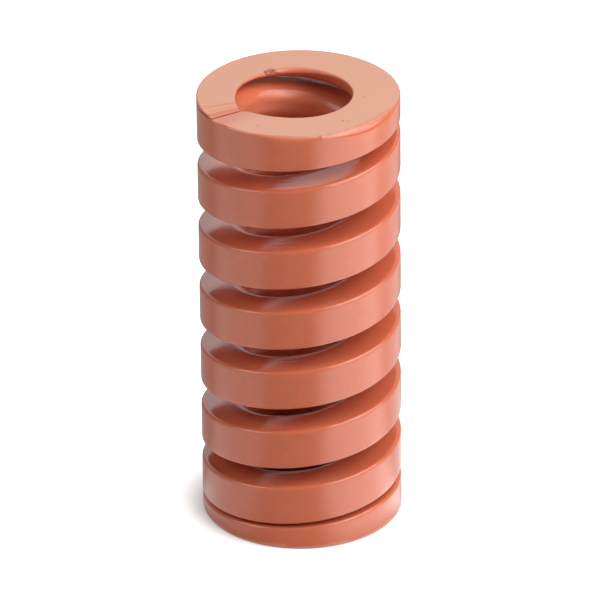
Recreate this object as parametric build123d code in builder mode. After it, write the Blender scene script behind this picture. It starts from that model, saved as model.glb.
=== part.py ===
"""Heavy-duty die spring: flat-sided wire, coiled right-handed, closed and ground flat at both ends.

The part's origin is the middle of the lower ground end, with +Z along the spring's axis.
"""

import os
from math import cos, radians, sin

from build123d import *

# The envelope, in millimetres: the spring works in a 35 mm pocket, over a 17.5 mm rod.
outer_diameter = 34.8
free_length = 79.4

# The wire's section as coiled: flat towards the pocket, and rounded towards the rod,
# where the two corners leave a narrow flat between them.
wire_width = 8.2
wire_height = 7.3
outer_edge_break = 0.5
inner_flat_height = 0.3

# The coiling. Turns are counted along the wire, from its lower tip to its upper tip.
total_turns = 8.2
upper_tip_azimuth = 203.0
stations_per_turn = 12

# Near each tip the wire is coiled closed, a seam's width from the next turn,
# and then opens to the working pitch.
seam_clearance = 0.1
lower_closed_turns = 0.65
lower_opening_turns = 1.45
upper_closed_turns = 0.7
upper_opening_turns = 0.65

# What the grinding wheel leaves of the wire's height at its two tips.
lower_tip_thickness = 1.4
upper_tip_thickness = 0.4

inner_corner_radius = (wire_height - inner_flat_height) / 2
coil_radius = (outer_diameter - wire_width) / 2
closed_pitch = wire_height + seam_clearance
wire_rise = free_length + wire_height - lower_tip_thickness - upper_tip_thickness
closed_turns = lower_closed_turns + lower_opening_turns / 2 + upper_closed_turns + upper_opening_turns / 2
working_pitch = (wire_rise - closed_turns * closed_pitch) / (total_turns - closed_turns)
lower_tip_level = lower_tip_thickness - wire_height / 2


def turns_held_closed(turns, closed, opening):
    """How much of this many turns from a tip counts as closed: all at first, then an ever smaller share."""
    opened = min(max((turns - closed) / opening, 0.0), 1.0)
    return min(turns, closed) + opening * (opened - opened**3 + opened**4 / 2)


def rise(turns):
    """Height of the wire's middle above its middle at the lower tip, this many turns along."""
    lower = turns_held_closed(turns, lower_closed_turns, lower_opening_turns)
    upper_whole = turns_held_closed(total_turns, upper_closed_turns, upper_opening_turns)
    upper = upper_whole - turns_held_closed(total_turns - turns, upper_closed_turns, upper_opening_turns)
    return working_pitch * turns - (working_pitch - closed_pitch) * (lower + upper)


def wire_plane(turns):
    """The upright plane through the axis that cuts the wire this many turns along, with its X outwards."""
    azimuth = radians(upper_tip_azimuth + 360 * (turns - total_turns))
    outwards = Vector(cos(azimuth), sin(azimuth), 0)
    middle = outwards * coil_radius + Vector(0, 0, lower_tip_level + rise(turns))
    return Plane(origin=middle, x_dir=outwards, z_dir=(sin(azimuth), -cos(azimuth), 0))


os.makedirs("parts", exist_ok=True)

# Die spring: the wire's section stands upright at every station and is lofted along the whole coil,
# and then both ends are ground to flat faces square to the axis.
stations = round(total_turns * stations_per_turn)
with BuildPart() as die_spring:
    for station in range(stations + 1):
        with BuildSketch(wire_plane(total_turns * station / stations)) as wire_section:
            Rectangle(wire_width, wire_height)
            corners = wire_section.sketch_local.vertices().sort_by(Axis.X)
            chamfer(corners[2:], outer_edge_break)
            fillet(corners[:2], inner_corner_radius)
    loft()
    split(bisect_by=Plane.XY, keep=Keep.TOP)
    split(bisect_by=Plane.XY.offset(free_length), keep=Keep.BOTTOM)
die_spring.part.label = "die_spring"
export_step(die_spring.part, "parts/die_spring.step")
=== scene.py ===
"""Looks of a heavy-duty die spring: one enamelled coil of flat-sided wire, closed and ground at both ends.

The spring stands on its lower ground end, with +Z along its axis. Lengths are in metres, and azimuths are in
degrees from +X towards +Y.
"""

from __future__ import annotations

import logging
import math
from dataclasses import dataclass, field
from enum import Enum

import bpy
from mathutils import Matrix, Vector


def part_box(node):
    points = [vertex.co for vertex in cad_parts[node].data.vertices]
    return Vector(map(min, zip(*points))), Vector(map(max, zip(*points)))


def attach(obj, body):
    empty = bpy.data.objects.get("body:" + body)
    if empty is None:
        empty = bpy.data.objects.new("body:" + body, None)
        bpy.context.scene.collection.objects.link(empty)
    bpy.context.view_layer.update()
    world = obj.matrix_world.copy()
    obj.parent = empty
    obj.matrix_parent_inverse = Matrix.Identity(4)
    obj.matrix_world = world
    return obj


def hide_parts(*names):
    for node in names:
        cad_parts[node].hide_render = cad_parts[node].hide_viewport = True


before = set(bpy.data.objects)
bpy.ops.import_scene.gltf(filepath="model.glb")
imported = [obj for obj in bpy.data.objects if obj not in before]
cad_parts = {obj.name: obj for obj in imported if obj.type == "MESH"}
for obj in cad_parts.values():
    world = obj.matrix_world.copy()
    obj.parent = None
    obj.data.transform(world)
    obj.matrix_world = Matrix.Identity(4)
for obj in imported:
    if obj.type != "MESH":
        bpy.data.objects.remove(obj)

LOG = logging.getLogger("die_spring")
MM = 0.001
TURN = 360.0
# A share just under one, so that points right at a limit count as past it.
JUST_UNDER = 0.999

Colour = tuple[float, float, float]


class Carried(str, Enum):
    """What the coil's mesh carries for its enamel."""

    # The pale ground look: thin enamel on ground steel, and partly a painted sheen of the light above.
    GROUND_AND_SHEEN = "ground"
    ALONG = "along"
    ROUND = "round"
    DEPTH = "depth"


def towards(azimuth: float, elevation: float) -> Vector:
    """The direction at this azimuth and elevation, in degrees, as a unit vector."""
    around, up = math.radians(azimuth), math.radians(elevation)
    return Vector((math.cos(around) * math.cos(up), math.sin(around) * math.cos(up), math.sin(up)))


class Field:
    """A value in a node tree, so that a rule reads as plain arithmetic.

    Args:
        tree: The node tree that the value lives in.
        socket: The output socket that carries it.
    """

    def __init__(self, tree: bpy.types.NodeTree, socket: bpy.types.NodeSocket) -> None:
        self.tree = tree
        self.socket = socket

    def _math(self, operation: str, *others: Field | float, clamp: bool = False) -> Field:
        """Adds one Math node.

        Args:
            operation: The node's operation.
            others: What stands at its second and third input.
            clamp: Whether the result is held between 0 and 1.

        Returns:
            The node's result.
        """
        node = self.tree.nodes.new("ShaderNodeMath")
        node.operation = operation
        node.use_clamp = clamp
        self.tree.links.new(self.socket, node.inputs[0])
        for index, other in enumerate(others, start=1):
            if isinstance(other, Field):
                self.tree.links.new(other.socket, node.inputs[index])
            else:
                node.inputs[index].default_value = other
        return Field(self.tree, node.outputs[0])

    def __add__(self, other: Field | float) -> Field:
        """The sum."""
        return self._math("ADD", other)

    __radd__ = __add__

    def __sub__(self, other: Field | float) -> Field:
        """The difference."""
        return self._math("SUBTRACT", other)

    def __rsub__(self, other: float) -> Field:
        """A plain number less this value."""
        return self._math("MULTIPLY", -1.0)._math("ADD", other)

    def __mul__(self, other: Field | float) -> Field:
        """The product."""
        return self._math("MULTIPLY", other)

    __rmul__ = __mul__

    def __truediv__(self, other: Field | float) -> Field:
        """The quotient."""
        return self._math("DIVIDE", other)

    def held(self) -> Field:
        """The value held between 0 and 1."""
        return self._math("ADD", 0.0, clamp=True)

    def least(self, other: Field | float) -> Field:
        """The smaller of two values."""
        return self._math("MINIMUM", other)

    def most(self, other: Field | float) -> Field:
        """The larger of two values."""
        return self._math("MAXIMUM", other)

    def root(self) -> Field:
        """The square root."""
        return self._math("SQRT")

    def size(self) -> Field:
        """The value without its sign."""
        return self._math("ABSOLUTE")

    def whole(self) -> Field:
        """The whole number below."""
        return self._math("FLOOR")

    def over(self, other: Field) -> Field:
        """The remainder of a division."""
        return self._math("MODULO", other)

    def cosine(self) -> Field:
        """The cosine of an angle in radians."""
        return self._math("COSINE")

    def sine(self) -> Field:
        """The sine of an angle in radians."""
        return self._math("SINE")

    def above(self, other: Field | float) -> Field:
        """1 where this value is the larger, else 0."""
        return self._math("GREATER_THAN", other)

    def ease(self) -> Field:
        """A soft step: 0 up to 0, 1 from 1 on, and a smooth curve between."""
        part = self.held()
        return part * part * (3.0 - 2.0 * part)

    def hump(self, reach: float) -> Field:
        """1 where the value is 0, falling softly to 0 this far to either side."""
        return (1.0 - self.size() * (1.0 / reach)).ease()

    def apart(self, azimuth: float) -> Field:
        """How far, in degrees, this azimuth in radians lies from another in degrees, the short way round."""
        return (self - math.radians(azimuth)).cosine()._math("ARCCOSINE") * math.degrees(1.0)


class NodeTree:
    """A node tree with short ways to add and wire its nodes.

    Args:
        tree: The tree itself.
    """

    def __init__(self, tree: bpy.types.NodeTree) -> None:
        self.tree = tree

    def add(self, kind: str, settings: dict | None = None, **inputs: object) -> bpy.types.Node:
        """Adds a node, sets it up and wires it.

        Args:
            kind: The node's type name.
            settings: Properties of the node itself.
            inputs: What stands at each input. An underscore in its name stands for a blank.

        Returns:
            The node.
        """
        node = self.tree.nodes.new(kind)
        for key, value in (settings or {}).items():
            setattr(node, key, value)
        for key, value in inputs.items():
            self.wire(node.inputs[key.replace("_", " ")], value)
        return node

    def wire(self, target: bpy.types.NodeSocket, value: object) -> None:
        """Puts a Field, a socket or a plain value at an input."""
        if isinstance(value, Field):
            self.tree.links.new(value.socket, target)
        elif isinstance(value, bpy.types.NodeSocket):
            self.tree.links.new(value, target)
        else:
            target.default_value = value

    def field(self, socket: bpy.types.NodeSocket) -> Field:
        """An output as a value to reckon with."""
        return Field(self.tree, socket)

    def vectors(self, operation: str, first: object, second: object) -> bpy.types.Node:
        """Adds a Vector Math node with two inputs."""
        node = self.add("ShaderNodeVectorMath", {"operation": operation})
        self.wire(node.inputs[0], first)
        self.wire(node.inputs[1], second)
        return node

    def point(self, x: Field | float, y: Field | float, z: Field | float) -> bpy.types.NodeSocket:
        """Three numbers put together as one vector."""
        return self.add("ShaderNodeCombineXYZ", X=x, Y=y, Z=z).outputs[0]

    def noise(self, vector: bpy.types.NodeSocket, scale: float, detail: float = 2.0,
              roughness: float = 0.5) -> Field:
        """Soft random values about one half.

        Args:
            vector: Where the noise is read.
            scale: Its grains per unit of length.
            detail: How many finer layers lie on it.
            roughness: How strong they are.

        Returns:
            The noise.
        """
        node = self.add("ShaderNodeTexNoise", Vector=vector, Scale=scale, Detail=detail, Roughness=roughness)
        return self.field(node.outputs["Fac"])


class CoilTree(NodeTree):
    """A Geometry Nodes tree with named inputs.

    Args:
        name: The tree's name.
    """

    def __init__(self, name: str) -> None:
        super().__init__(bpy.data.node_groups.new(name, "GeometryNodeTree"))
        self.tree.interface.new_socket("Geometry", in_out="OUTPUT", socket_type="NodeSocketGeometry")
        self.group = self.tree.nodes.new("NodeGroupInput")
        self.values: dict[str, float | int | bpy.types.Material] = {}

    def named(self, name: str, kind: str, value: float | int | bpy.types.Material) -> bpy.types.NodeSocket:
        """Adds a named input.

        Args:
            name: The input's name.
            kind: Its socket type.
            value: What the modifier sets it to.

        Returns:
            The group input's socket.
        """
        socket = self.tree.interface.new_socket(name, in_out="INPUT", socket_type=kind)
        self.values[socket.identifier] = value
        return self.group.outputs[name]

    def number(self, name: str, value: float) -> Field:
        """Adds a named input for a plain number."""
        return self.field(self.named(name, "NodeSocketFloat", value))

    def count(self, name: str, value: int) -> Field:
        """Adds a named input for a whole number."""
        return self.field(self.named(name, "NodeSocketInt", value))

    def axes(self) -> tuple[Field, Field, Field]:
        """Each point's position, as three numbers."""
        place = self.add("GeometryNodeInputPosition")
        split = self.add("ShaderNodeSeparateXYZ", Vector=place.outputs[0])
        return tuple(self.field(output) for output in split.outputs)

    def stored(self, mesh: bpy.types.NodeSocket, name: Carried, value: Field) -> bpy.types.NodeSocket:
        """Keeps a value on the mesh's points, under a name that the material reads.

        Args:
            mesh: The geometry.
            name: What is kept.
            value: Its value.

        Returns:
            The geometry with the attribute.
        """
        return self.add("GeometryNodeStoreNamedAttribute", Geometry=mesh, Name=name.value,
                        Value=value).outputs[0]

    def shaded(self, mesh: bpy.types.NodeSocket, crease: float) -> bpy.types.NodeSocket:
        """Shades the mesh smooth, with a crisp edge wherever two faces meet at more than an angle.

        Args:
            mesh: The geometry.
            crease: The angle, in degrees.

        Returns:
            The shaded geometry.
        """
        smooth = self.add("GeometryNodeSetShadeSmooth", Geometry=mesh, Shade_Smooth=True)
        bend = self.field(self.add("GeometryNodeInputMeshEdgeAngle").outputs[0])
        return self.add("GeometryNodeSetShadeSmooth", {"domain": "EDGE"}, Geometry=smooth.outputs[0],
                        Selection=bend.above(math.radians(crease)), Shade_Smooth=False).outputs[0]

    def end(self, mesh: bpy.types.NodeSocket, finish: bpy.types.NodeSocket) -> None:
        """Ends the tree in Realize Instances and Set Material.

        Args:
            mesh: The finished geometry.
            finish: The material's socket.
        """
        real = self.add("GeometryNodeRealizeInstances", Geometry=mesh)
        dressed = self.add("GeometryNodeSetMaterial", Geometry=real.outputs[0], Material=finish)
        out = self.tree.nodes.new("NodeGroupOutput")
        self.tree.links.new(dressed.outputs[0], out.inputs[0])

    def baked(self, name: str) -> bpy.types.Object:
        """Runs the tree once and keeps its result as a plain mesh at the origin.

        Args:
            name: The object's name.

        Returns:
            The object, without any modifier.
        """
        carrier = bpy.data.objects.new(name, bpy.data.meshes.new(name))
        bpy.context.scene.collection.objects.link(carrier)
        modifier = carrier.modifiers.new(self.tree.name, "NODES")
        modifier.node_group = self.tree
        for identifier, value in self.values.items():
            modifier[identifier] = value
        seen = carrier.evaluated_get(bpy.context.evaluated_depsgraph_get())
        mesh = bpy.data.meshes.new_from_object(seen)
        carrier.modifiers.remove(modifier)
        carrier.data = mesh
        mesh.name = name
        return carrier


class ShaderTree(NodeTree):
    """A material's node tree.

    Args:
        name: The material's name.
    """

    def __init__(self, name: str) -> None:
        self.material = bpy.data.materials.new(name)
        self.material.use_nodes = True
        super().__init__(self.material.node_tree)
        self.tree.nodes.clear()
        self.out = self.tree.nodes.new("ShaderNodeOutputMaterial")

    def attribute(self, name: Carried) -> Field:
        """A value that the mesh carries."""
        return self.field(self.add("ShaderNodeAttribute", {"attribute_name": name.value}).outputs["Fac"])

    def mixed(self, share: Field, first: Colour | bpy.types.NodeSocket,
              second: Colour | bpy.types.NodeSocket) -> bpy.types.NodeSocket:
        """A colour between two, by a share.

        Args:
            share: 0 gives the first colour and 1 the second.
            first: The first colour.
            second: The second colour.

        Returns:
            The mixed colour's socket.
        """
        node = self.add("ShaderNodeMix", {"data_type": "RGBA"}, Factor=share)
        for target, value in ((node.inputs[6], first), (node.inputs[7], second)):
            self.wire(target, (*value, 1.0) if isinstance(value, tuple) else value)
        return node.outputs[2]

    def shown(self, surface: bpy.types.Node) -> bpy.types.Material:
        """Ends the material in this surface."""
        self.tree.links.new(surface.outputs[0], self.out.inputs["Surface"])
        return self.material


@dataclass(frozen=True)
class FaceSpot:
    """A small round spot on the upper ground face: a dark speck, or a lump or pit in the enamel.

    The amount is how dark a speck is, or how high a lump stands. A pit's is below zero.
    """

    azimuth: float
    radius: float
    reach: float
    amount: float = 1.0

    def at(self, tree: NodeTree, place: bpy.types.NodeSocket, level: float = 0.0) -> Field:
        """How much of the spot there is at each place.

        Args:
            tree: The tree it is built in.
            place: Each point's place.
            level: The height at which the spot lies.

        Returns:
            The amount in the spot's middle, falling to 0 at its reach.
        """
        middle = towards(self.azimuth, 0.0) * self.radius + Vector((0.0, 0.0, level))
        away = tree.field(tree.vectors("DISTANCE", place, tuple(middle)).outputs["Value"])
        return away.hump(self.reach) * self.amount


@dataclass(frozen=True)
class EnamelGrain:
    """The enamel's unevenness: orange peel all over, and drawn streaks on the sides between the turns."""

    detail: float = 3.0
    peel_size: float = 0.9 * MM
    peel_depth: float = 0.012 * MM
    streak_length: float = 9.0 * MM
    streak_width: float = 0.75 * MM
    streak_depth: float = 0.040 * MM
    streak_roughness: float = 0.6
    streak_onset: float = 8.0
    outside_share: float = 0.1

    def bent(self, shader: ShaderTree, place: bpy.types.NodeSocket, depth: Field) -> bpy.types.NodeSocket:
        """Bends the surface's direction.

        Args:
            shader: The enamel's tree.
            place: Each point's place on the spring.
            depth: How far in from the outside it is, as a share of the wire's width.

        Returns:
            The bent normal's socket.
        """
        wire = shader.point(shader.attribute(Carried.ALONG) / self.streak_length,
                            shader.attribute(Carried.ROUND) / self.streak_width, 0.0)
        peel = shader.noise(place, 1 / self.peel_size, self.detail)
        streaks = shader.noise(wire, 1.0, self.detail, self.streak_roughness)
        grain = shader.add("ShaderNodeBump", Strength=1.0, Distance=self.peel_depth, Height=peel)
        strength = (depth * self.streak_onset).held() * (1.0 - self.outside_share) + self.outside_share
        drawn = shader.add("ShaderNodeBump", Strength=strength, Distance=self.streak_depth, Height=streaks,
                           Normal=grain.outputs[0])
        return drawn.outputs[0]


@dataclass(frozen=True)
class SpringEnamel:
    """The baked enamel over the whole spring: satin on the coils, paler and duller on ground steel, where the
    paler colour is partly a painted sheen of the light above.
    """

    face_level: float
    coil_colour: Colour = (0.62, 0.150, 0.072)
    worn_colour: Colour = (0.595, 0.142, 0.068)
    # Paler partly for thin enamel on ground steel, and partly as a painted sheen of the light above.
    ground_sheen_colour: Colour = (0.665, 0.316, 0.210)
    chip_colour: Colour = (0.30, 0.075, 0.045)
    coil_roughness: float = 0.13
    bore_roughness: float = 0.18
    ground_roughness: float = 0.45
    cloud_size: float = 1.2 * MM
    cloud_detail: float = 4.0
    cloud_roughness: float = 0.6
    cloud_start: float = 0.35
    cloud_range: float = 0.3
    mark_gain: float = 1.5
    grain: EnamelGrain = EnamelGrain()
    marks: tuple[FaceSpot, ...] = (
        FaceSpot(241.0, 14.2 * MM, 0.30 * MM), FaceSpot(305.0, 13.1 * MM, 0.34 * MM),
        FaceSpot(307.0, 13.8 * MM, 0.26 * MM), FaceSpot(352.0, 11.2 * MM, 0.24 * MM),
        FaceSpot(117.5, 10.3 * MM, 0.95 * MM, 1.2), FaceSpot(123.5, 10.15 * MM, 0.55 * MM),
        FaceSpot(110.0, 9.95 * MM, 0.35 * MM, 0.7), FaceSpot(286.0, 16.8 * MM, 0.35 * MM, 0.5),
        FaceSpot(334.0, 16.4 * MM, 0.35 * MM, 0.5),
    )

    def marked(self, shader: ShaderTree, place: bpy.types.NodeSocket) -> Field:
        """Where the small marks are.

        Args:
            shader: The enamel's tree.
            place: Each point's place on the spring.

        Returns:
            0 away from the marks and up to 1 inside them.
        """
        found: Field | float = 0.0
        for mark in self.marks:
            found = mark.at(shader, place, self.face_level) + found
        return (found * self.mark_gain).held()

    def made(self) -> bpy.types.Material:
        """Builds the enamel's material, which reads what the coil carries."""
        shader = ShaderTree("enamelled_spring_steel")
        ground, depth = shader.attribute(Carried.GROUND_AND_SHEEN), shader.attribute(Carried.DEPTH)
        place = shader.add("ShaderNodeTexCoord").outputs["Object"]
        noise = shader.noise(place, 1 / self.cloud_size, self.cloud_detail, self.cloud_roughness)
        clouds = ((noise - self.cloud_start) / self.cloud_range).held()
        coil = shader.mixed(clouds, self.coil_colour, self.worn_colour)
        # The pale ground colour mixed in here holds a painted sheen of the light above.
        clean = shader.mixed(ground, coil, self.ground_sheen_colour)
        colour = shader.mixed(self.marked(shader, place), clean, self.chip_colour)
        satin = self.coil_roughness + depth * depth * depth * self.bore_roughness
        roughness = ground * (self.ground_roughness - satin) + satin
        return shader.shown(shader.add("ShaderNodeBsdfPrincipled", Base_Color=colour, Roughness=roughness,
                                       Normal=self.grain.bent(shader, place, depth)))


@dataclass(frozen=True)
class TentPanel:
    """A round soft-edged bright patch, which only shows as a reflection."""

    azimuth: float
    elevation: float
    full_radius: float
    faded_radius: float
    strength: float

    def glow(self, tent: NodeTree, direction: bpy.types.NodeSocket) -> Field:
        """The patch's brightness in each direction.

        Args:
            tent: The tree it is built in.
            direction: The direction that is looked at.

        Returns:
            The brightness.
        """
        middle = tuple(towards(self.azimuth, self.elevation))
        near = tent.field(tent.vectors("DOT_PRODUCT", direction, middle).outputs["Value"])
        faded, full = (math.cos(math.radians(angle)) for angle in (self.faded_radius, self.full_radius))
        return ((near - faded) / (full - faded)).ease() * self.strength


@dataclass(frozen=True)
class PaleBackdrop:
    """The floor: a plain pale sheet, white to the camera, which keeps the spring's shadow round its foot, and
    which glows in reflections with soft bright patches, though it is no lamp.

    A painted soft shadow behind the spring, which no lamp casts, keeps the floor from shining white through
    the gaps between the turns.
    """

    colour: Colour = (0.8, 0.8, 0.8)
    lift: float = 0.88
    unlifted_radius: float = 14.0 * MM
    lifted_radius: float = 23.0 * MM
    painted_shade_half_width: float = 14.5 * MM
    painted_shade_length: float = 150.0 * MM
    side_fade: float = 9.0 * MM
    end_fade: float = 14.0 * MM
    dim_strength: float = 0.40
    glows: tuple[TentPanel, ...] = (
        TentPanel(326.0, 0.0, 14.0, 48.0, 2.6),
        TentPanel(20.0, 0.0, 10.0, 45.0, 0.8),
        TentPanel(200.0, 0.0, 10.0, 42.0, 0.9),
    )

    def painted_shade(self, shader: ShaderTree, place: bpy.types.NodeSocket) -> Field:
        """A painted soft shadow behind the spring, which no lamp casts.

        Args:
            shader: The floor's tree.
            place: Each point's place on the floor.

        Returns:
            0 outside the painted shadow and up to 1 inside it.
        """
        spot = shader.add("ShaderNodeSeparateXYZ", Vector=place).outputs
        aside, behind = shader.field(spot[0]).size(), shader.field(spot[1])
        across = ((self.painted_shade_half_width - aside) / self.side_fade).ease()
        near, far = behind / self.end_fade, (self.painted_shade_length - behind) / self.end_fade
        return across * near.ease() * far.ease()

    def made(self) -> bpy.types.Material:
        """Builds the backdrop's material."""
        shader = ShaderTree("pale_floor")
        path = shader.add("ShaderNodeLightPath").outputs
        seen, mirrored = shader.field(path["Is Camera Ray"]), shader.field(path["Is Glossy Ray"])
        place = shader.add("ShaderNodeTexCoord").outputs["Object"]
        length = shader.add("ShaderNodeVectorMath", {"operation": "LENGTH"}, Vector=place)
        away = shader.field(length.outputs["Value"])
        clear = ((away - self.unlifted_radius) / (self.lifted_radius - self.unlifted_radius)).ease()
        outwards = shader.add("ShaderNodeVectorMath", {"operation": "NORMALIZE"}, Vector=place)
        # Only reflections see this glow: a dim floor, with soft bright patches that stand in for the lit
        # studio.
        sheen = mirrored * self.dim_strength
        for glow in self.glows:
            sheen = sheen + mirrored * glow.glow(shader, outwards.outputs["Vector"])
        # The lift is taken out in the painted shadow, so the floor there shows grey.
        lifted = seen * (1.0 - self.painted_shade(shader, place)) * self.lift
        matt = shader.add("ShaderNodeBsdfDiffuse", Color=(*self.colour, 1.0))
        dark = shader.add("ShaderNodeBsdfDiffuse", Color=(0.0, 0.0, 0.0, 1.0))
        base = shader.add("ShaderNodeMixShader", Fac=mirrored)
        bright = shader.add("ShaderNodeEmission", Strength=(lifted + sheen) * clear)
        both = shader.add("ShaderNodeAddShader")
        shader.wire(base.inputs[1], matt.outputs[0])
        shader.wire(base.inputs[2], dark.outputs[0])
        shader.wire(both.inputs[0], base.outputs[0])
        shader.wire(both.inputs[1], bright.outputs[0])
        return shader.shown(both)


@dataclass(frozen=True)
class RimStretch:
    """A stretch of a ground rim that is rounder than the rest, deepest in its middle."""

    azimuth: float
    reach: float
    width: float
    drop: float


@dataclass(frozen=True)
class GroundRim:
    """The rounding of one rim of a ground face, and the stretches where it is larger."""

    width: float
    drop: float
    stretches: tuple[RimStretch, ...] = ()

    def sizes(self, azimuth: Field) -> tuple[Field, Field]:
        """The rounding's width and depth, all round.

        Args:
            azimuth: Where on the rim, in radians.

        Returns:
            The width and the drop.
        """
        width, drop = azimuth * 0.0 + self.width, azimuth * 0.0 + self.drop
        for stretch in self.stretches:
            share = azimuth.apart(stretch.azimuth).hump(stretch.reach)
            width, drop = width + share * stretch.width, drop + share * stretch.drop
        return width, drop

    @staticmethod
    def dropped(share: Field, drop: Field | float) -> Field:
        """How far the rounding has dropped, this share of its width out from the flat."""
        return (1.0 - (1.0 - share * share).root()) * drop


@dataclass(frozen=True)
class EnamelBead:
    """A raised line of enamel along a stretch of the upper outer rim."""

    azimuth: float
    reach: float
    width: float
    height: float


@dataclass(frozen=True)
class TipRidge:
    """A ridge, or with a height below zero a groove, across the upper ground face beside the tip."""

    past_tip: float
    reach: float
    height: float


@dataclass(frozen=True)
class WirePoints:
    """Where the points of the coiled wire are before the grinding.

    The outer radius and the free length hold for all. Each point has its azimuth in radians, its degrees past
    the tip, its place inwards and up in the section, its level, and the level of the wire's underside.
    """

    outer: Field
    length: Field
    azimuth: Field
    past_tip: Field
    inward: Field
    up: Field
    level: Field
    bottom: Field


@dataclass(frozen=True)
class UpperFace:
    """The upper ground face: its rims, the wire's thin tip, and the form of the enamel that lies on it.

    Degrees past the tip are counted along the wire, and are below zero before it.
    """

    coat: float = 0.10 * MM
    outer_rim: GroundRim = GroundRim(0.30 * MM, 0.30 * MM, (
        RimStretch(268.0, 27.0, 0.50 * MM, 0.9 * MM), RimStretch(318.0, 42.0, 0.95 * MM, 1.7 * MM)))
    bore_rim: GroundRim = GroundRim(0.35 * MM, 0.35 * MM, (RimStretch(95.0, 55.0, 0.65 * MM, 0.4 * MM),))
    outer_rim_fade: float = 1.3
    bore_rim_fade: float = 1.2
    whole_rim_thickness: float = 1.4 * MM
    cut_softness: float = 0.25 * MM
    soft_from: float = 0.75
    bevel_degrees: float = 4.5
    bevel_run: float = 1.5
    bevel_drop: float = 0.08 * MM
    feather_start: float = 0.8
    feather_run: float = 4.8
    feather_drop: float = 0.20 * MM
    wedge_start: float = 0.28 * MM
    wedge_depth: float = 0.45 * MM
    thick_enamel_start: float = 2.0
    thick_enamel_run: float = 1.6
    thick_enamel_share: float = 0.9
    ripple_size: float = 1.6 * MM
    ripple_gain: float = 1.6
    bead_onset: float = 2.5
    bead_gloss: float = 0.6
    ridge_gloss: float = 0.5
    beads: tuple[EnamelBead, ...] = (
        EnamelBead(243.0, 44.0, 0.30 * MM, 0.13 * MM), EnamelBead(312.0, 34.0, 0.34 * MM, 0.13 * MM),
    )
    lumps: tuple[FaceSpot, ...] = (
        FaceSpot(283.0, 16.9 * MM, 0.55 * MM, 0.22 * MM), FaceSpot(287.0, 16.7 * MM, 0.45 * MM, -0.22 * MM),
        FaceSpot(330.5, 16.3 * MM, 0.60 * MM, 0.16 * MM), FaceSpot(334.5, 16.5 * MM, 0.50 * MM, -0.20 * MM),
        FaceSpot(112.0, 10.0 * MM, 0.70 * MM, 0.22 * MM), FaceSpot(116.5, 10.35 * MM, 0.60 * MM, -0.40 * MM),
        FaceSpot(121.0, 10.1 * MM, 0.70 * MM, 0.28 * MM), FaceSpot(125.0, 10.2 * MM, 0.55 * MM, -0.30 * MM),
        FaceSpot(207.0, 16.9 * MM, 0.60 * MM, 0.20 * MM), FaceSpot(203.0, 16.6 * MM, 0.50 * MM, -0.15 * MM),
    )
    ridges: tuple[TipRidge, ...] = (
        TipRidge(-6.4, 1.8, -0.13 * MM), TipRidge(-4.6, 1.8, 0.05 * MM),
        TipRidge(0.8, 1.9, 0.12 * MM),
    )

    def fullness(self, wire: WirePoints) -> Field:
        """1 where the wire is thick enough for whole rims, and less towards the tip."""
        return ((wire.length - wire.bottom) / self.whole_rim_thickness).held()

    def left(self, wire: WirePoints) -> Field:
        """How much of the wire's height is left at the face's inner edge."""
        rim_drop = self.bore_rim.sizes(wire.azimuth)[1]
        return wire.length - self.coat - rim_drop * self.fullness(wire) - wire.bottom

    def shaped(self, tree: CoilTree, wire: WirePoints, radius: Field,
               inner_edge: Field) -> tuple[Field, Field]:
        """The face's form, which the wire never passes.

        Args:
            tree: The tree it is built in.
            wire: Where the wire's points are.
            radius: Distance from the axis.
            inner_edge: The radius of the face's inner edge.

        Returns:
            The height, and how much of the pale ground look, with its painted sheen, the place has.
        """
        outer_width, outer_drop = self.outer_rim.sizes(wire.azimuth)
        bore_width, bore_drop = self.bore_rim.sizes(wire.azimuth)
        out_share = ((radius - wire.outer) / outer_width + 1.0).held()
        in_share = (1.0 - (radius - inner_edge) / bore_width).held()
        bevel = ((wire.past_tip + self.bevel_degrees) / self.bevel_run).ease() * self.bevel_drop
        feather = ((wire.past_tip - self.feather_start) / self.feather_run).ease() * self.feather_drop
        rims = GroundRim.dropped(out_share, outer_drop) + GroundRim.dropped(in_share, bore_drop)
        height = wire.length - self.coat - rims * self.fullness(wire) - bevel - feather
        pale = (1.0 - out_share * self.outer_rim_fade).held() * (1.0 - in_share * self.bore_rim_fade).held()
        plan = tree.point(radius * wire.azimuth.cosine(), radius * wire.azimuth.sine(), 0.0)
        ripple = tree.noise(plan, 1 / self.ripple_size) * self.ripple_gain
        for bead in self.beads:
            along = (wire.azimuth.apart(bead.azimuth).hump(bead.reach) * self.bead_onset).held()
            raised = (wire.outer - radius - outer_width).hump(bead.width) * along
            height = height + raised * ripple * bead.height
            pale = pale * (1.0 - raised * self.bead_gloss)
        for lump in self.lumps:
            height = height + lump.at(tree, plan)
        for ridge in self.ridges:
            raised = (wire.past_tip - ridge.past_tip).hump(ridge.reach)
            height = height + raised * ripple * ridge.height
            pale = pale * (1.0 - raised * self.ridge_gloss)
        return height.least(wire.length).most(wire.bottom), pale

    def cut(self, wire: WirePoints, half_height: Field, face: Field) -> Field:
        """The wire's height once it is ground down to the face, softly where the cut grazes its upper side.

        Args:
            wire: Where the wire's points are.
            half_height: Half the wire's height.
            face: The face's height.

        Returns:
            The height.
        """
        upper_side = ((wire.up / half_height - self.soft_from) / (1.0 - self.soft_from)).ease()
        blend = (1.0 - (wire.level - face).size() / self.cut_softness).held() * upper_side
        return wire.level.least(face) - blend * blend * (self.cut_softness / 4)

    def ground_and_sheen_look(self, wire: WirePoints, face: Field, pale: Field) -> Field:
        """How pale each place is, from thin enamel on ground steel and a painted sheen of the light above:
        less where the wire is hardly ground, and past the tip.

        Args:
            wire: Where the wire's points are.
            face: The face's height.
            pale: How pale the face's rims, beads and ridges leave it.

        Returns:
            0 for the coil's look and 1 for the ground look with its painted sheen.
        """
        ground = pale * ((wire.level - face + self.wedge_start) / self.wedge_depth).ease()
        thick = ((wire.past_tip - self.thick_enamel_start) / self.thick_enamel_run).ease()
        return ground * (1.0 - thick * self.thick_enamel_share)


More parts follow.
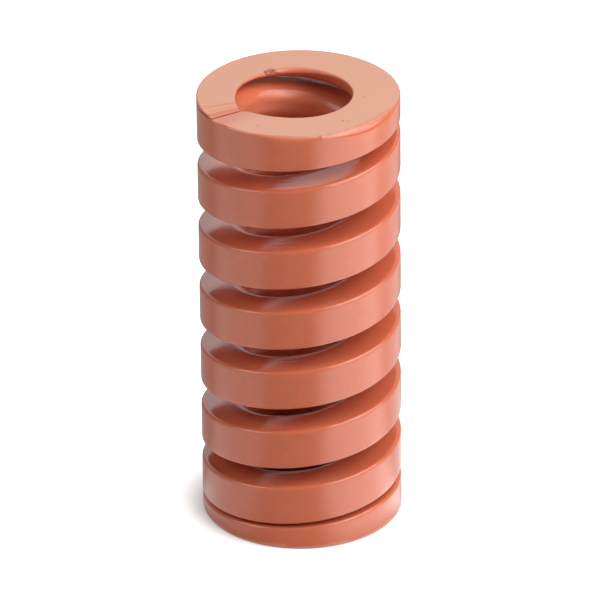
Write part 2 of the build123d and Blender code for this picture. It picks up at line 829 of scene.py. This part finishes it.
@dataclass(frozen=True)
class TipSeam:
    """The seam between the last turn and the one below it, which enamel closes beside the wire's tip."""

    closed_degrees: float = 50.0
    sinking_share: float = 0.7
    sinking: float = 0.18 * MM
    onset: float = 2.2
    step: float = 0.012 * MM

    def sunk(self, past_tip: Field) -> Field:
        """How far the last turn comes down on the one below it."""
        share = (past_tip + self.closed_degrees) / (self.closed_degrees * self.sinking_share)
        return share.ease() * self.sinking

    def filled(self, wire: WirePoints, radius: Field, edge_radius: float) -> Field:
        """Fills the groove between the two turns' rounded edges.

        Args:
            wire: Where the wire's points are.
            radius: Distance from the axis.
            edge_radius: The rounding of the wire's outer edges.

        Returns:
            The new distance from the axis.
        """
        last = wire.past_tip.hump(self.closed_degrees) * (0.0 - wire.up).above(0.0)
        below = (wire.past_tip + TURN).hump(self.closed_degrees) * wire.up.above(0.0)
        edge = radius.above(wire.outer - edge_radius * JUST_UNDER)
        filling = wire.outer - last.above(0.0) * self.step
        return radius + (filling - radius) * ((last + below) * self.onset).held() * edge


@dataclass
class DieSpring:
    """The spring: a straight wire of the right section, coiled by its pitch rule and ground flat."""

    outer_diameter: float
    free_length: float
    wire_width: float = 8.2 * MM
    wire_height: float = 7.3 * MM
    outer_edge_radius: float = 0.6 * MM
    upper_inner_radius: float = 2.7 * MM
    lower_inner_radius: float = 3.5 * MM
    total_turns: float = 8.2
    upper_tip_azimuth: float = 203.0
    seam_clearance: float = 0.1 * MM
    lower_closed_turns: float = 0.65
    lower_opening_turns: float = 1.45
    upper_closed_turns: float = 0.7
    upper_opening_turns: float = 0.65
    lower_tip_thickness: float = 1.4 * MM
    upper_tip_thickness: float = 0.4 * MM
    feather_degrees: float = 8.0
    upper_face: UpperFace = UpperFace()
    lower_rim: GroundRim = GroundRim(0.40 * MM, 0.40 * MM)
    seam: TipSeam = TipSeam()
    coarse_stations: float = 90.0
    fine_stations: float = 400.0
    fine_turns: float = 1.06
    outer_edge_steps: int = 5
    inner_corner_steps: int = 15
    flat_step: float = 0.3 * MM
    wall_step: float = 0.8 * MM
    crowding: float = 0.65
    crease: float = 32.0
    same_place: float = 0.002 * MM
    width: Field = field(init=False)
    height: Field = field(init=False)
    total: Field = field(init=False)

    def section(self, tree: CoilTree) -> bpy.types.NodeSocket:
        """The wire's section as a closed curve, with its X towards the pocket and its Y downwards.

        Args:
            tree: The tree it is built in.

        Returns:
            The curve's socket.
        """
        edge = tree.number("Outer Edge Radius", self.outer_edge_radius)
        upper_corner = tree.number("Upper Inner Radius", self.upper_inner_radius)
        lower_corner = tree.number("Lower Inner Radius", self.lower_inner_radius)
        block = tree.add("GeometryNodeCurvePrimitiveQuadrilateral", Width=self.width, Height=self.height)
        x, y, _ = tree.axes()
        outer_cut = tree.add("GeometryNodeFilletCurve", {"mode": "POLY"}, Curve=block.outputs[0],
                             Count=tree.count("Outer Edge Steps", self.outer_edge_steps),
                             Radius=edge * x.above(0.0))
        inner = (0.0 - x).above(self.width * (0.5 * JUST_UNDER))
        corner = lower_corner + (upper_corner - lower_corner) * (0.0 - y).above(0.0)
        inner_cut = tree.add("GeometryNodeFilletCurve", {"mode": "POLY"}, Curve=outer_cut.outputs[0],
                             Count=tree.count("Inner Corner Steps", self.inner_corner_steps),
                             Radius=inner * corner)
        return self.divided(tree, inner_cut.outputs[0])

    def divided(self, tree: CoilTree, curve: bpy.types.NodeSocket) -> bpy.types.NodeSocket:
        """Divides the section's straight sides, and leaves its short corner steps alone.

        Args:
            tree: The tree it is built in.
            curve: The section.

        Returns:
            The divided section.
        """
        place = tree.add("GeometryNodeInputPosition").outputs[0]
        index = tree.field(tree.add("GeometryNodeInputIndex").outputs[0])
        size = tree.add("GeometryNodeAttributeDomainSize", {"component": "CURVE"}, Geometry=curve)
        following = (index + 1.0).over(tree.field(size.outputs["Point Count"]))
        ahead = tree.add("GeometryNodeFieldAtIndex", {"data_type": "FLOAT_VECTOR", "domain": "POINT"},
                         Index=following, Value=place).outputs[0]
        run = tree.add("ShaderNodeSeparateXYZ", Vector=tree.vectors("SUBTRACT", ahead, place).outputs[0])
        across, upright = tree.field(run.outputs[0]).size(), tree.field(run.outputs[1]).size()
        cuts = (across / tree.number("Flat Step", self.flat_step)).whole().most(
            (upright / tree.number("Wall Step", self.wall_step)).whole())
        level = across.above(self.flat_step * 2) + upright.above(self.wall_step * 2)
        return tree.add("GeometryNodeSubdivideCurve", Curve=curve, Cuts=cuts * level).outputs[0]

    def bar(self, tree: CoilTree) -> tuple[bpy.types.NodeSocket, Field]:
        """The wire while it is still straight, with its length running from 0 to 1 along X.

        Args:
            tree: The tree it is built in.

        Returns:
            The mesh, and the turns from the lower tip at each of its points.
        """
        coarse = tree.number("Stations per Turn", self.coarse_stations)
        fine = tree.number("Fine Stations per Turn", self.fine_stations)
        fine_turns = tree.number("Fine Turns", self.fine_turns)
        feather = tree.number("Feather Turns", self.feather_degrees / TURN)
        coarse_steps = (self.total + feather - fine_turns) * coarse
        steps = coarse_steps + fine_turns * fine
        line = tree.add("GeometryNodeCurvePrimitiveLine", Start=(0, 0, 0), End=(1, 0, 0))
        path = tree.add("GeometryNodeResampleCurve", Curve=line.outputs[0], Count=steps)
        level = tree.add("GeometryNodeSetCurveNormal", {"mode": "Z_UP"}, Curve=path.outputs[0])
        wire = tree.add("GeometryNodeCurveToMesh", Curve=level.outputs[0], Profile_Curve=self.section(tree),
                        Fill_Caps=True)
        step = tree.axes()[0] * steps
        return wire.outputs[0], step.least(coarse_steps) / coarse + (step - coarse_steps).most(0.0) / fine

    def middle(self, tree: CoilTree, turns: Field, length: Field) -> Field:
        """The height of the wire's middle, by the pitch rule of the coil.

        Args:
            tree: The tree it is built in.
            turns: Turns from the lower tip.
            length: The spring's free length.

        Returns:
            The height.
        """
        lower_closed = tree.number("Lower Closed Turns", self.lower_closed_turns)
        lower_opening = tree.number("Lower Opening Turns", self.lower_opening_turns)
        upper_closed = tree.number("Upper Closed Turns", self.upper_closed_turns)
        upper_opening = tree.number("Upper Opening Turns", self.upper_opening_turns)
        lower_tip = tree.number("Lower Tip Thickness", self.lower_tip_thickness)
        upper_tip = tree.number("Upper Tip Thickness", self.upper_tip_thickness)

        def held_closed(count: Field, whole: Field, opening: Field) -> Field:
            """How much of this many turns, counted from a tip, counts as closed."""
            opened = ((count - whole) / opening).held()
            cube = opened * opened * opened
            return count.least(whole) + opening * (opened - cube + cube * opened * 0.5)

        closed_pitch = self.height + tree.number("Seam Clearance", self.seam_clearance)
        rise = length + self.height - lower_tip - upper_tip
        closed_turns = lower_closed + lower_opening * 0.5 + upper_closed + upper_opening * 0.5
        pitch = (rise - closed_turns * closed_pitch) / (self.total - closed_turns)
        lower = held_closed(turns, lower_closed, lower_opening)
        upper_whole = held_closed(self.total, upper_closed, upper_opening)
        upper = upper_whole - held_closed(self.total - turns, upper_closed, upper_opening)
        return lower_tip - self.height * 0.5 + pitch * turns - (pitch - closed_pitch) * (lower + upper)

    def points(self, tree: CoilTree, turns: Field) -> WirePoints:
        """Where the wire's points are once it is coiled.

        Args:
            tree: The tree it is built in.
            turns: Turns from the lower tip.

        Returns:
            The points' places.
        """
        outer = tree.number("Outer Diameter", self.outer_diameter) * 0.5
        length = tree.number("Free Length", self.free_length)
        tip_azimuth = tree.number("Upper Tip Azimuth", math.radians(self.upper_tip_azimuth))
        _, inward, up = tree.axes()
        past_tip = (turns - self.total) * TURN
        azimuth = (turns - self.total) * math.tau + tip_azimuth
        level = self.middle(tree, turns, length) + up - self.seam.sunk(past_tip)
        bottom = level - up - self.height * 0.5
        return WirePoints(outer, length, azimuth, past_tip, inward, up, level, bottom)

    def drawn_to_cuts(self, wire: WirePoints) -> tuple[Field, Field]:
        """How far from the axis each point is, with the ground points kept between the face's edges.

        Args:
            wire: Where the wire's points are.

        Returns:
            Distance from the axis, and the radius of the upper face's inner edge.
        """
        left = self.upper_face.left(wire)
        inner_edge, outer_edge = self.cut_edges(left, wire.outer, self.lower_inner_radius)
        radius = wire.outer - self.width * 0.5 - wire.inward
        radius = self.seam.filled(wire, radius, self.outer_edge_radius)
        taken = (wire.level - wire.bottom).above(left)
        radius = self.spread(wire, radius, inner_edge, outer_edge, taken).least(outer_edge)
        stub_edge, _ = self.cut_edges(wire.bottom + self.height, wire.outer, self.upper_inner_radius)
        return radius.most(stub_edge * (0.0 - wire.level).above(0.0)), inner_edge

    def spread(self, wire: WirePoints, radius: Field, inner_edge: Field, outer_edge: Field,
               taken: Field) -> Field:
        """Spreads the points of the ground face between its two edges, closest together near them.

        Args:
            wire: Where the wire's points are.
            radius: Distance from the axis.
            inner_edge: The radius of the face's inner edge.
            outer_edge: The radius of the face's outer edge.
            taken: 1 for the points on the face, 0 below it.

        Returns:
            The new distance from the axis.
        """
        upper = wire.up.above(0.0)
        lower_share = (1.0 - upper) * radius.above(wire.outer - self.width * 0.5)
        share = (1.0 - (wire.outer - radius) / self.width) * upper + lower_share
        closer = share - (share * math.tau).sine() * (self.crowding / math.tau)
        return radius + (inner_edge + (outer_edge - inner_edge) * closer - radius) * taken

    def cut_edges(self, left: Field, outer: Field, inner_radius: float) -> tuple[Field, Field]:
        """Where a level cut meets the sides of the wire's section.

        Args:
            left: How much of the wire's height the cut leaves.
            outer: The spring's outer radius.
            inner_radius: The section's inner corner on the side that is left.

        Returns:
            The radius of the cut's inner edge and of its outer edge.
        """
        def drawn_in(corner: float) -> Field:
            """How far the rounded corner is from the side at the cut's level."""
            rest = (corner - left).most(0.0).least(corner)
            return corner - (corner * corner - rest * rest).root()

        bore = outer - self.width
        return bore + drawn_in(inner_radius), outer - drawn_in(self.outer_edge_radius)

    def coiled(self) -> bpy.types.Object:
        """Builds the whole wire, as one closed mesh."""
        tree = CoilTree("coil_spring_wire")
        self.width = tree.number("Wire Width", self.wire_width)
        self.height = tree.number("Wire Height", self.wire_height)
        self.total = tree.number("Total Turns", self.total_turns)
        finish = tree.named("Finish", "NodeSocketMaterial", SpringEnamel(self.free_length).made())
        bar, turns = self.bar(tree)
        wire = self.points(tree, turns)
        radius, inner_edge = self.drawn_to_cuts(wire)
        face, pale = self.upper_face.shaped(tree, wire, radius, inner_edge)
        height = self.upper_face.cut(wire, self.height * 0.5, face)
        under = (0.0 - wire.level).above(0.0)
        foot = self.lower_rim.dropped(((radius - wire.outer) / self.lower_rim.width + 1.0).held(),
                                      self.lower_rim.drop)
        carried = {
            # The pale ground look, partly painted sheen, full on the foot.
            Carried.GROUND_AND_SHEEN: self.upper_face.ground_and_sheen_look(wire, face, pale).most(under),
            Carried.ALONG: turns * wire.outer * math.tau,
            Carried.ROUND: wire.inward + wire.up,
            Carried.DEPTH: ((wire.outer - radius) / self.width).held(),
        }
        for name, value in carried.items():
            bar = tree.stored(bar, name, value)
        bent = tree.add("GeometryNodeSetPosition", Geometry=bar, Position=tree.point(
            radius * wire.azimuth.cosine(), radius * wire.azimuth.sine(), height.most(foot)))
        clean = tree.add("GeometryNodeMergeByDistance", Geometry=bent.outputs[0], Distance=self.same_place)
        tree.end(tree.shaded(clean.outputs[0], self.crease), finish)
        return tree.baked("spring_coil")

    def build(self) -> bpy.types.Object:
        """Makes the spring, hangs it on the root body, and hides the part that it stands for."""
        spring = self.coiled()
        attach(spring, "root")
        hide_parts("die_spring")
        return spring


@dataclass(frozen=True)
class Softbox:
    """A soft rectangular lamp, placed round the spring's axis and aimed at it."""

    name: str
    azimuth: float
    elevation: float
    distance: float
    width: float
    height: float
    strength: float

    def lit(self, target: Vector) -> None:
        """Makes the lamp, facing the target."""
        data = bpy.data.lights.new(self.name, "AREA")
        data.shape = "RECTANGLE"
        data.size, data.size_y = self.width, self.height
        data.energy = self.strength
        lamp = bpy.data.objects.new(self.name, data)
        away = towards(self.azimuth, self.elevation)
        lamp.location = target + away * self.distance
        lamp.rotation_mode = "QUATERNION"
        lamp.rotation_quaternion = away.to_track_quat("Z", "Y")
        bpy.context.scene.collection.objects.link(lamp)


@dataclass
class Studio:
    """The pale floor, the lamps, the tent round the spring and the camera."""

    camera_elevation: float = 27.568
    camera_roll: float = -0.584
    camera_distance: float = 1180.9 * MM
    focal_length: float = 411.45
    sensor_width: float = 36.0
    nearest_seen: float = 0.05
    farthest_seen: float = 20.0
    aim_height: float = 39.67 * MM
    aim_right: float = -0.228 * MM
    aim_up: float = 0.145 * MM
    dim_strength: float = 0.35
    floor_size: float = 3.0
    lamps: tuple[Softbox, ...] = (
        Softbox("right_front_softbox", 316.0, 35.0, 0.6, 0.35, 0.4, 1.9),
        Softbox("right_softbox", 352.0, 35.0, 0.6, 0.35, 0.4, 1.55),
        Softbox("left_softbox", 196.0, 35.0, 0.6, 0.35, 0.4, 1.25),
        Softbox("overhead_softbox", 350.0, 66.0, 0.6, 0.35, 0.35, 1.6),
    )
    panels: tuple[TentPanel, ...] = (TentPanel(93.0, 30.0, 20.0, 40.0, 0.95),)
    backdrop: PaleBackdrop = field(default_factory=PaleBackdrop)

    def floor(self) -> None:
        half = self.floor_size / 2
        mesh = bpy.data.meshes.new("floor")
        corners = [(-half, -half, 0), (half, -half, 0), (half, half, 0), (-half, half, 0)]
        mesh.from_pydata(corners, [], [(0, 1, 2, 3)])
        mesh.materials.append(self.backdrop.made())
        floor = bpy.data.objects.new("floor", mesh)
        bpy.context.scene.collection.objects.link(floor)

    def surroundings(self) -> None:
        """Sets the tent: white to the camera, and dim with soft panels in reflections. It lights nothing."""
        world = bpy.data.worlds.new("tent")
        world.use_nodes = True
        bpy.context.scene.world = world
        tent = NodeTree(world.node_tree)
        tent.tree.nodes.clear()
        path = tent.add("ShaderNodeLightPath").outputs
        direction = tent.add("ShaderNodeTexCoord").outputs["Generated"]
        shown, mirrored = tent.field(path["Is Camera Ray"]), tent.field(path["Is Glossy Ray"])
        sheen = mirrored * self.dim_strength
        for panel in self.panels:
            sheen = sheen + mirrored * panel.glow(tent, direction)
        light = tent.add("ShaderNodeBackground", Color=(1, 1, 1, 1), Strength=shown + sheen)
        out = tent.tree.nodes.new("ShaderNodeOutputWorld")
        tent.wire(out.inputs["Surface"], light.outputs[0])

    def camera(self) -> None:
        """Sets up the camera: a long lens, slightly rolled, looking down on the spring."""
        back = towards(-90.0, self.camera_elevation)
        level_right = Vector((1, 0, 0))
        level_up = back.cross(level_right)
        roll = math.radians(self.camera_roll)
        right = level_right * math.cos(roll) + level_up * math.sin(roll)
        up = level_up * math.cos(roll) - level_right * math.sin(roll)
        aim = Vector((0, 0, self.aim_height)) + right * self.aim_right + up * self.aim_up
        data = bpy.data.cameras.new("camera")
        data.sensor_width = self.sensor_width
        data.lens = self.focal_length
        data.clip_start, data.clip_end = self.nearest_seen, self.farthest_seen
        camera = bpy.data.objects.new("camera", data)
        turn = Matrix((right, up, back)).transposed()
        camera.matrix_world = Matrix.Translation(aim + back * self.camera_distance) @ turn.to_4x4()
        bpy.context.scene.collection.objects.link(camera)
        bpy.context.scene.camera = camera

    def build(self, target: Vector) -> None:
        """Sets up the whole studio, with the lamps facing the target."""
        self.floor()
        self.surroundings()
        for lamp in self.lamps:
            lamp.lit(target)
        self.camera()
        bpy.context.scene.view_settings.view_transform = "Standard"


def main() -> None:
    """Builds the spring to the size of its part in model.glb, logs its face count, and builds its studio."""
    logging.basicConfig(level=logging.INFO, format="%(name)s: %(message)s")
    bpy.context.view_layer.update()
    low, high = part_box("die_spring")
    spring = DieSpring(outer_diameter=high.y - low.y, free_length=high.z - low.z).build()
    LOG.info("%s: %d faces", spring.name, len(spring.data.polygons))
    Studio().build((low + high) / 2)


if __name__ == "__main__":
    main()
